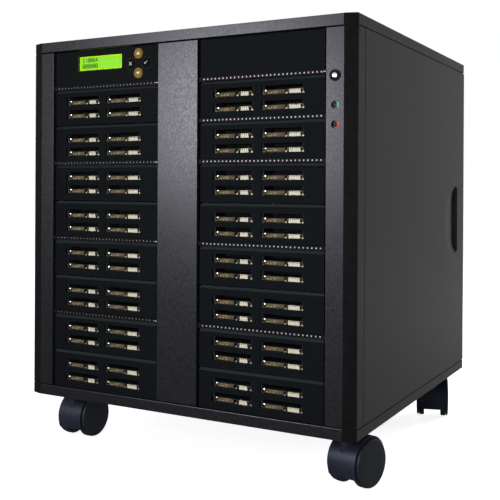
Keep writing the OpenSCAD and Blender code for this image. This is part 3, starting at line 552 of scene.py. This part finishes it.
def card_slots():
    """Every card slot: its centre, the floor of its mouth and its plan."""
    for column in (-1, 1):
        for bay in CARD_BAYS:
            for side, plan in SLOT_PLAN.items():
                for row in (0, 1):
                    x = column * BAY_CENTRE + side * SLOT_STEP - SLOT_SHIFT
                    z = FIRST_BAY_TOP - bay * BAY_PITCH - MOUTH_DROP - row * ROW_STEP
                    yield x, z, plan


def on_socket(bm, outline, proud):
    """A flat part on a socket's front that stands proud of it by so many millimetres."""
    plate(bm, outline, SOCKET_Y - proud, SOCKET_Y - SOCKET_GAP)


def latch_blocks():
    """Ivory latch blocks below the right half of each mouth, with a toothed top."""
    bm = bmesh.new()
    for x, z, plan in card_slots():
        left, right = [x + dx for dx in plan["block"]]
        foot, shoulder = z - BLOCK_FOOT, z - BLOCK_SHOULDER
        on_socket(bm, [(left, foot), (right + 0.5, foot), (right, shoulder),
                       (left + 0.4, shoulder)], proud=0.9)
        step = (right - left) / plan["teeth"]
        for i in range(plan["teeth"]):
            start = left + step * i + TOOTH_GAPS[0]
            end = left + step * (i + 1) - TOOTH_GAPS[1]
            box(bm, (start, SOCKET_Y - 0.8, shoulder - 0.1), (end, SOCKET_Y - 0.1, z - TOOTH_TIP))
    piece("socket_latch_blocks", bm, ivory_polymer, "cabinet", bevel=0.15)


def spring_clips():
    """Spring feet on the left and the right of each latch block."""
    bm = bmesh.new()
    for x, z, plan in card_slots():
        on_socket(bm, shifted(LEVER_FOOT, x + plan["lever"], z), proud=0.8)
        on_socket(bm, shifted(END_FOOT, x + plan["foot"], z), proud=0.8)
    piece("socket_spring_clips", bm, nickel_plate, "cabinet", bevel=0.2)


def latch_loops():
    """Thin grey wires that run from the top of each latch block down to the feet beside it."""
    bm = bmesh.new()
    for x, z, plan in card_slots():
        lever, foot = x + plan["lever"], x + plan["foot"]
        left, right = [x + dx for dx in plan["block"]]
        on_socket(bm, [(left - 0.3, z - 0.3), (left - 0.2, z - 0.9), (lever + 1.2, z - 3.4),
                       (lever + 0.6, z - 3.2), (left - 1.2, z - 0.5)], proud=0.5)
        on_socket(bm, [(right - 0.6, z - 0.9), (right + 0.6, z - 0.1), (right + 2.0, z + 0.1),
                       (foot - 0.9, z - 2.4), (foot - 1.5, z - 2.8), (right + 1.7, z - 0.7),
                       (right + 0.7, z - 0.8), (right - 0.2, z - 1.5)], proud=0.5)
    piece("socket_latch_loops", bm, spring_wire, "cabinet", bevel=0.1)


def rail_rivets():
    """Domed rivets at the top of the hook on each socket's left."""
    bm = bmesh.new()
    for x, z, plan in card_slots():
        centre = (x + plan["hook"] + RIVET_SHIFT, z - RIVET_DROP)
        lathe(bm, centre, SOCKET_Y - 0.5, RIVET, STUD_SIDES)
    piece("socket_rail_rivets", bm, bright_nickel, "cabinet", smooth=True)


def rail_hooks():
    """Grey wire hooks that curl from the rivet round the left end of the bronze sheet."""
    bm = bmesh.new()
    for x, z, plan in card_slots():
        on_socket(bm, shifted(RAIL_HOOK, x + plan["hook"], z), proud=0.6)
    piece("socket_rail_hooks", bm, spring_wire, "cabinet", bevel=0.12)


def bronze_leaves():
    """Bowed bronze leaves in front of the sheet below each mouth."""
    bm = bmesh.new()
    for x, z, plan in card_slots():
        rows = []
        for i in range(LEAF_STEPS + 1):
            y = SOCKET_Y + 0.1 - LEAF_BOW * math.sin(math.pi * i / LEAF_STEPS)
            height = z - LEAF_DROP + LEAF_HEIGHT * i / LEAF_STEPS
            rows.append([point(bm, x + dx, y, height) for dx in plan["leaf"]])
        skin(bm, rows)
    leaves = piece("socket_bronze_leaves", bm, bronze, "cabinet", smooth=True)
    thicken(leaves, "sheet_thickness", LEAF_SHEET, 1)


def leaf_dimples():
    """Three pressed dimples low on each bronze leaf, in a paler gold that is a painted highlight."""
    bm = bmesh.new()
    for x, z, plan in card_slots():
        for dx in plan["dimples"]:
            lathe(bm, (x + dx, z - DIMPLE_DROP), SOCKET_Y - 0.25, DIMPLE, STUD_SIDES)
    piece("socket_leaf_dimples", bm, gold_flash_painted_highlight, "cabinet", smooth=True)


def contact_pins():
    """Two rows of gold pins at the back of each mouth."""
    bm = bmesh.new()
    back = SOCKET_Y + MOUTH_DEPTH
    for x, z, _ in card_slots():
        for row in PIN_ROWS:
            for i in range(PINS):
                at = x + (i - (PINS - 1) / 2) * PIN_PITCH
                box(bm, (at - PIN_HALF, back - PIN_LENGTH, z + row - PIN_HALF),
                    (at + PIN_HALF, back, z + row + PIN_HALF))
    piece("socket_contact_pins", bm, gold_pins_painted_shade, "cabinet")


latch_blocks()
spring_clips()
latch_loops()
rail_rivets()
rail_hooks()
bronze_leaves()
leaf_dimples()
contact_pins()

# Vent strips: the bays below the strips of the left and the right column, the strips with a clip at
# their right end, and how far the fingers sit behind the face and half their width
STRIP_BAYS = {-1: (1, 3, 5, 7), 1: (1, 2, 3, 5, 7)}
CLIP_BAYS = {-1: (1, 3, 5, 7), 1: (1,)}
FINGER_FIT = {-1: (0.9, 0.55), 1: (0.5, 0.8)}
FINGER_BACK = 5.9
VENTS = 30
VENT_ROW = 140
# Outline of a finger's end in half widths, and of a clip in millimetres
FINGER = [(-1, -1), (1, -1), (1, 0.6), (0.6, 1), (-0.6, 1), (-1, 0.6)]
CLIP = [(0, -0.6), (2.4, -0.6), (2.4, 0.5), (0, 0.5)]


def vent_fingers():
    """Plated spring fingers in the vents, just behind the strip's face, and clips at some ends."""
    bm = bmesh.new()
    for column, bays in STRIP_BAYS.items():
        recess, half = FINGER_FIT[column]
        outline = [(half * dx, half * dz) for dx, dz in FINGER]
        for bay in bays:
            z = FIRST_BAY_TOP - bay * BAY_PITCH
            for i in range(VENTS):
                x = column * BAY_CENTRE + (i - (VENTS - 1) / 2) * VENT_ROW / VENTS
                plate(bm, shifted(outline, x, z), STRIP_Y + recess, STRIP_Y + FINGER_BACK)
            if bay in CLIP_BAYS[column]:
                end = column * BAY_CENTRE + VENT_ROW / 2
                plate(bm, shifted(CLIP, end, z), STRIP_Y - 0.2, STRIP_Y + 0.3)
    piece("vent_fingers", bm, tin_plate, "cabinet", bevel=0.15)


vent_fingers()

# Control panel
LCD_X = -106.9
LCD_Z = FIRST_BAY_TOP - 16.2
LCD_HALF_WIDTH = 61.3 / 2
LCD_HALF_HEIGHT = 16.4 / 2
LCD_FACE = FACE_Y + 1.2
PANE_BORDER_X = 2.2
PANE_BORDER_Z = 1.5
KEY_X = -53.1
KEY_Z = FIRST_BAY_TOP - 20.6
KEY_FACE = FACE_Y - 1.2
# Buttons lie this far to the sides of the centre of their cross, and this far above and below it
KEY_REACH = 10.25
KEY_RISE = 10.85
RING_OUTER = 6.6
RING_INNER = 6.2

# Display: lines of characters by their height above its centre, their start from its left edge,
# and the pitch and size of the dots
DISPLAY_LINES = {6.0: "1:0064", -0.9: "000000"}
LETTER_START = 5.0
LETTER_PITCH = 3.7
DOT_PITCH_X = 0.64
DOT_PITCH_Z = 0.76
DOT_HALF = 0.37
# Dot patterns of the characters shown, seven rows of five
DOTS = {"0": "01110 10001 10011 10101 11001 10001 01110",
        "1": "00100 01100 00100 00100 00100 00100 01110",
        "4": "00010 00110 01010 10010 11111 00010 00010",
        "6": "00110 01000 10000 11110 10001 10001 01110",
        ":": "00000 00100 00100 00000 00100 00100 00000"}

# Marks on the buttons: each button's place from the centre of the cross, and the mark's outline
MARKS = {
    "up": (0, KEY_RISE, [(-2.6, -1.3), (2.6, -1.3), (0, 2.1)]),
    "down": (0, -KEY_RISE, [(-2.6, 1.3), (0, -2.1), (2.6, 1.3)]),
    "cancel": (-KEY_REACH, 0, [(-2.0, -1.6), (-1.6, -2.0), (0, -0.4), (1.6, -2.0), (2.0, -1.6),
                               (0.4, 0), (2.0, 1.6), (1.6, 2.0), (0, 0.4), (-1.6, 2.0),
                               (-2.0, 1.6), (-0.4, 0)]),
    "accept": (KEY_REACH, 0, [(-2.2, 0.0), (-0.8, -1.6), (2.3, 1.5), (1.8, 2.0), (-0.8, -0.6),
                              (-1.7, 0.5)]),
}


def key_marks():
    """A printed mark on each of the four buttons, which moves with its button."""
    for name, (dx, dz, outline) in MARKS.items():
        bm = bmesh.new()
        plate(bm, shifted(outline, KEY_X + dx, KEY_Z + dz), KEY_FACE - 0.06, KEY_FACE + 0.02)
        piece(f"mark_{name}", bm, white_ink, f"button_{name}")


def display_pane():
    """Lit pane of the display inside its brighter border."""
    bm = bmesh.new()
    w, h = LCD_HALF_WIDTH - PANE_BORDER_X, LCD_HALF_HEIGHT - PANE_BORDER_Z
    box(bm, (LCD_X - w, LCD_FACE - 0.12, LCD_Z - h), (LCD_X + w, LCD_FACE + 0.02, LCD_Z + h))
    piece("display_pane", bm, display_glass, "cabinet", bevel=0.05)


def display_digits():
    """Two lines of dot-matrix digits at the left of the display."""
    bm = bmesh.new()
    left = LCD_X - LCD_HALF_WIDTH + LETTER_START
    for top, text in DISPLAY_LINES.items():
        for n, letter in enumerate(text):
            for r, line in enumerate(DOTS[letter].split()):
                for c, on in enumerate(line):
                    if on == "1":
                        x = left + LETTER_PITCH * n + DOT_PITCH_X * c
                        z = LCD_Z + top - DOT_PITCH_Z * r
                        box(bm, (x - DOT_HALF, LCD_FACE - 0.17, z - DOT_HALF),
                            (x + DOT_HALF, LCD_FACE - 0.1, z + DOT_HALF))
    piece("display_digits", bm, display_dots, "cabinet")


def display_window_highlight():
    """Olive strips at the left of the display window: a painted highlight on the window's left edge.
    """
    bm = bmesh.new()
    left, top, bottom = LCD_X - LCD_HALF_WIDTH, LCD_Z + LCD_HALF_HEIGHT, LCD_Z - LCD_HALF_HEIGHT
    for x0, z0, x1, z1 in ((left - 1.3, bottom - 0.9, left - 0.3, top + 0.9),
                           (left - 0.3, top + 0.3, left + 1.5, top + 0.9),
                           (left - 0.3, bottom - 0.9, left + 1.5, bottom - 0.3)):
        box(bm, (x0, FACE_Y - 0.05, z0), (x1, FACE_Y + 0.3, z1))
    piece("display_window_highlight", bm, olive_ink_and_highlight, "cabinet")


def key_rings():
    """Printed olive rings round the two black buttons."""
    bm = bmesh.new()
    for x in (KEY_X - KEY_REACH, KEY_X + KEY_REACH):
        ring(bm, (x, KEY_Z), RING_OUTER, RING_INNER, FACE_Y - 0.06, FACE_Y + 0.05)
    piece("key_rings", bm, olive_ink_and_highlight, "cabinet")


key_marks()
display_pane()
display_digits()
display_window_highlight()
key_rings()

# Side panels: the pressed dish of each finger grip
GRIP_CENTRE = 153
GRIP_REAR = 168
GRIP_RADIUS = 44
GRIP_DEPTH = 6.6
GRIP_Z = TOP - 210
# The dish is drawn this many degrees up and down its round front, and is flat but for its ends
GRIP_ARC = 88
GRIP_FLATNESS = 10
GRIP_COLUMNS = 48
GRIP_STEPS = 10
# How far the sheet's two sides lie inside the panel's face, and how far its inner side lies back
GRIP_OUTSIDE = 0.05
GRIP_INSIDE = 0.4
GRIP_BACK = 0.3


def panel_grip(name, side, body):
    """A dish pressed into a side panel, from a round front edge in to a straight rear wall."""
    bm = bmesh.new()
    outer, inner = [], []
    for i in range(GRIP_COLUMNS + 1):
        z = GRIP_RADIUS * math.sin(math.radians(GRIP_ARC * (2 * i / GRIP_COLUMNS - 1)))
        reach = math.sqrt(GRIP_RADIUS ** 2 - z ** 2)
        front = GRIP_CENTRE - reach
        rear = min(GRIP_REAR, GRIP_CENTRE + reach)
        deep = GRIP_DEPTH * (1 - abs(z / GRIP_RADIUS) ** GRIP_FLATNESS)
        line = [(deep * k / GRIP_STEPS, front + (rear - front) * k / GRIP_STEPS)
                for k in range(GRIP_STEPS + 1)]
        line.append((0, rear))
        outer.append([point(bm, side * (HALF_WIDTH - GRIP_OUTSIDE - d), y, GRIP_Z + z)
                      for d, y in line])
        inner.append([point(bm, side * (HALF_WIDTH - GRIP_INSIDE - d), y + GRIP_BACK, GRIP_Z + z)
                      for d, y in line])
    skin(bm, outer)
    skin(bm, inner)
    for end in (0, -1):
        skin(bm, [outer[end], inner[end]])
        skin(bm, [[line[end] for line in sheet] for sheet in (outer, inner)])
    return piece(name, bm, powder_coat, body)


grips = [panel_grip("left_panel_grip", -1, "left_panel"),
         panel_grip("right_panel_grip", 1, "right_panel")]

# Rear: dust filters, screws, mains pins and switch marks
SUPPLY_X = -BAY_CENTRE
SUPPLY_Z = BASE + 14
SUPPLY_Y = REAR_Y - 1.2
LIP_Y = REAR_Y + 1.3
INLET_X = SUPPLY_X + 48
INLET_Z = SUPPLY_Z + 28
FAN_X = SUPPLY_X - 26
FAN_Z = SUPPLY_Z + 43
ROCKER_Y = REAR_Y - 6
ROCKER_Z = SUPPLY_Z + 60
# The mains rocker rests tilted by this many degrees, and its marks start this far from its pivot
ROCKER_TILT = 7
MARK_FOOT = 6.4
# Dust filters: pleats across each pad, half its width, its lower and upper edge, the depth of its
# front and rear folds behind the rear panel, and the thickness of the felt
PLEATS = 48
PAD_HALF_WIDTH = 72
PAD_HEIGHTS = (BASE + 155, BASE + 365)
FOLD_DEPTHS = (4.6, 2.2)
FELT = 0.4
# Inlet pins, from the inlet's centre: their places, half their width and height, and the depths of
# their feet and tips
INLET_PINS = ((-7, -1.6), (7, -1.6), (0, 2.4))
INLET_PIN_HALF = (1, 2)
INLET_PIN_DEPTHS = (17.3, 2)
SUPPLY_SCREWS = [(SUPPLY_X + dx, SUPPLY_Z + dz) for dx in (-67, 67) for dz in (8, 78)]
FAN_SCREWS = [(FAN_X + dx, FAN_Z + dz) for dx in (-29, 29) for dz in (-29, 29)]
PANEL_SCREW_X = 198
PANEL_SCREW_HEIGHTS = (BASE + 45, BASE + 207, BASE + 369)
# Head of a screw, in shares of its radius and height, with the socket in its middle
SCREW_HEAD = ((1, 0.55), (0.8, 1), (0.4, 1), (0.35, 0.35), (0.05, 0.35))
SCREW_SIDES = 20


def dust_filters():
    """Pleated filter pads behind the rear vents, one for each column."""
    bm = bmesh.new()
    for column in (-1, 1):
        folds = []
        for i in range(PLEATS + 1):
            x = column * BAY_CENTRE + PAD_HALF_WIDTH * (2 * i / PLEATS - 1)
            folds.append([point(bm, x, REAR_Y - FOLD_DEPTHS[i % 2], z) for z in PAD_HEIGHTS])
        skin(bm, folds)
    pads = piece("rear_dust_filters", bm, filter_felt, "cabinet")
    thicken(pads, "felt_thickness", FELT, 0)


def screws(name, places, y, radius, height, body):
    """Round-headed screws with a socket in the head, on a surface that faces the rear."""
    bm = bmesh.new()
    head = [(radius, -0.05)] + [(radius * r, height * h) for r, h in SCREW_HEAD]
    for place in places:
        lathe(bm, place, y, head, SCREW_SIDES)
    piece(name, bm, turned_steel, body)


def inlet_pins():
    """Three flat pins of the mains inlet."""
    bm = bmesh.new()
    for dx, dz in INLET_PINS:
        x, z = INLET_X + dx, INLET_Z + dz
        w, h = INLET_PIN_HALF
        foot, tip = [SUPPLY_Y - depth for depth in INLET_PIN_DEPTHS]
        box(bm, (x - w, foot, z - h), (x + w, tip, z + h))
    piece("inlet_pins", bm, nickel_plate, "cabinet", bevel=0.5)


def rocker_marks():
    """White bar and ring on the two halves of the mains rocker, drawn about its pivot and tilted."""
    bm = bmesh.new()
    box(bm, (-0.4, MARK_FOOT, 2.0), (0.4, 6.78, 5.0))
    ring(bm, (0, -3.4), 1.7, 1.1, MARK_FOOT, 6.76, sides=24)
    pivot = Matrix.Translation(Vector((INLET_X, ROCKER_Y, ROCKER_Z)) * MM)
    tilt = Matrix.Rotation(math.radians(ROCKER_TILT), 4, "X")
    bmesh.ops.transform(bm, matrix=pivot @ tilt, verts=bm.verts)
    piece("rocker_marks", bm, white_ink, "power_rocker")


screws("supply_screws", SUPPLY_SCREWS, SUPPLY_Y, radius=3.2, height=1.1, body="cabinet")
screws("fan_screws", FAN_SCREWS, SUPPLY_Y, radius=2.8, height=1.1, body="cabinet")
for side, body in ((-1, "left_panel"), (1, "right_panel")):
    places = [(side * PANEL_SCREW_X, z) for z in PANEL_SCREW_HEIGHTS]
    screws(f"{body}_screws", places, LIP_Y, radius=3.8, height=0.68, body=body)
dust_filters()
inlet_pins()
rocker_marks()

# Stage: half the floor's width and its thickness in millimetres, and how much the camera's own rays
# lift it towards white
FLOOR_HALF = 9000
FLOOR_SHEET = 4
FLOOR_LIFT = 0.84
WHITE = (1, 1, 1, 1)


def floor():
    """Plain pale paper floor that keeps the object's shadow."""
    paper, tree, shader, _ = finish("studio_paper", 0.0, Roughness=0.9,
                                    **{"Base Color": linear("e0e0e0"), "Emission Color": WHITE})
    rays = add(tree, "ShaderNodeLightPath")
    lift = add(tree, "ShaderNodeMath", {1: FLOOR_LIFT}, {0: rays.outputs["Is Camera Ray"]},
               operation="MULTIPLY")
    tree.links.new(lift.outputs[0], shader.inputs["Emission Strength"])
    bm = bmesh.new()
    box(bm, (-FLOOR_HALF, -FLOOR_HALF, -FLOOR_SHEET), (FLOOR_HALF, FLOOR_HALF, 0))
    formed("studio_floor", bm, paper)


def surroundings():
    """Grey light all round, seen as white by the camera and in gloss and glass."""
    world = bpy.data.worlds.new("studio")
    scene.world = world
    world.use_nodes = True
    tree = world.node_tree
    tree.nodes.clear()
    rays = add(tree, "ShaderNodeLightPath").outputs
    seen = rays["Is Camera Ray"]
    for kind in ("Is Glossy Ray", "Is Transmission Ray"):
        seen = add(tree, "ShaderNodeMath", links={0: seen, 1: rays[kind]},
                   operation="MAXIMUM").outputs[0]
    air = add(tree, "ShaderNodeMix", {"A": linear("8c8c8c"), "B": WHITE}, {"Factor": seen},
              data_type="RGBA")
    sky = add(tree, "ShaderNodeBackground", links={"Color": air.outputs["Result"]})
    add(tree, "ShaderNodeOutputWorld", links={"Surface": sky.outputs["Background"]})


def lamp(name, power, size, at, aim, fill=True, gloss=True):
    """A square soft lamp aimed at a point, that lights surfaces, shows in their gloss, or both."""
    data = bpy.data.lights.new(name, "AREA")
    data.energy = power
    data.size = size
    made = place_in_scene(name, data)
    made.location = at
    made.rotation_euler = (Vector(aim) - Vector(at)).to_track_quat("-Z", "Y").to_euler()
    made.visible_camera = False
    made.visible_diffuse = fill
    made.visible_glossy = gloss
    return made


# Camera, fitted to the photograph: degrees, pixels of its frame, and millimetres
VIEW_YAW = 28.65
VIEW_ROLL = 0.30
VIEW_FRAME = 500
VIEW_FOCUS = 844.3
VIEW_DROP = 62.1
VIEW_FROM = (503.3, -956.5, TOP - 169.6)
SENSOR = 36


def camera():
    """The photograph's view: level, with the frame slid down so that uprights stay upright."""
    yaw, roll = math.radians(VIEW_YAW), math.radians(VIEW_ROLL)
    ahead = Vector((-math.sin(yaw), math.cos(yaw), 0))
    right = Vector((math.cos(yaw), math.sin(yaw), 0))
    up = Vector((0, 0, 1))
    side = right * math.cos(roll) + up * math.sin(roll)
    top = up * math.cos(roll) - right * math.sin(roll)
    data = bpy.data.cameras.new("view")
    data.sensor_width = SENSOR
    data.lens = VIEW_FOCUS / VIEW_FRAME * SENSOR
    data.shift_y = -VIEW_DROP / VIEW_FRAME
    data.clip_end = 50
    made = place_in_scene("view", data)
    turn = Matrix((side, top, -ahead)).transposed()
    made.matrix_world = Matrix.Translation(Vector(VIEW_FROM) * MM) @ turn.to_4x4()
    scene.camera = made


floor()
surroundings()
lamp("front_softbox", power=5.5, size=0.4, at=(0.15, -1.1, 0.34), aim=(0, -0.2, 0.3))
sheen = lamp("front_sheen", power=26, size=0.3, at=(-0.368, -1.0, 0.472), aim=(0, -0.2, 0.35),
             fill=False)
lamp("side_softbox", power=28, size=0.8, at=(0.75, 1.35, 0.27), aim=(0.2, 0, 0.27), gloss=False)
lamp("rear_softbox", power=12, size=1.2, at=(-1.2, 1.8, 1.4), aim=(0, 0.1, 0.25))
# The sheen is for the bezel, so the sheets are kept out of it
plain = bpy.data.collections.new("plain_sheets")
for sheet in [solid[name] for name in SHEETS] + grips:
    plain.objects.link(sheet)
sheen.light_linking.receiver_collection = plain
for part in plain.collection_objects:
    part.light_linking.link_state = "EXCLUDE"
camera()
scene.view_settings.view_transform = "Standard"
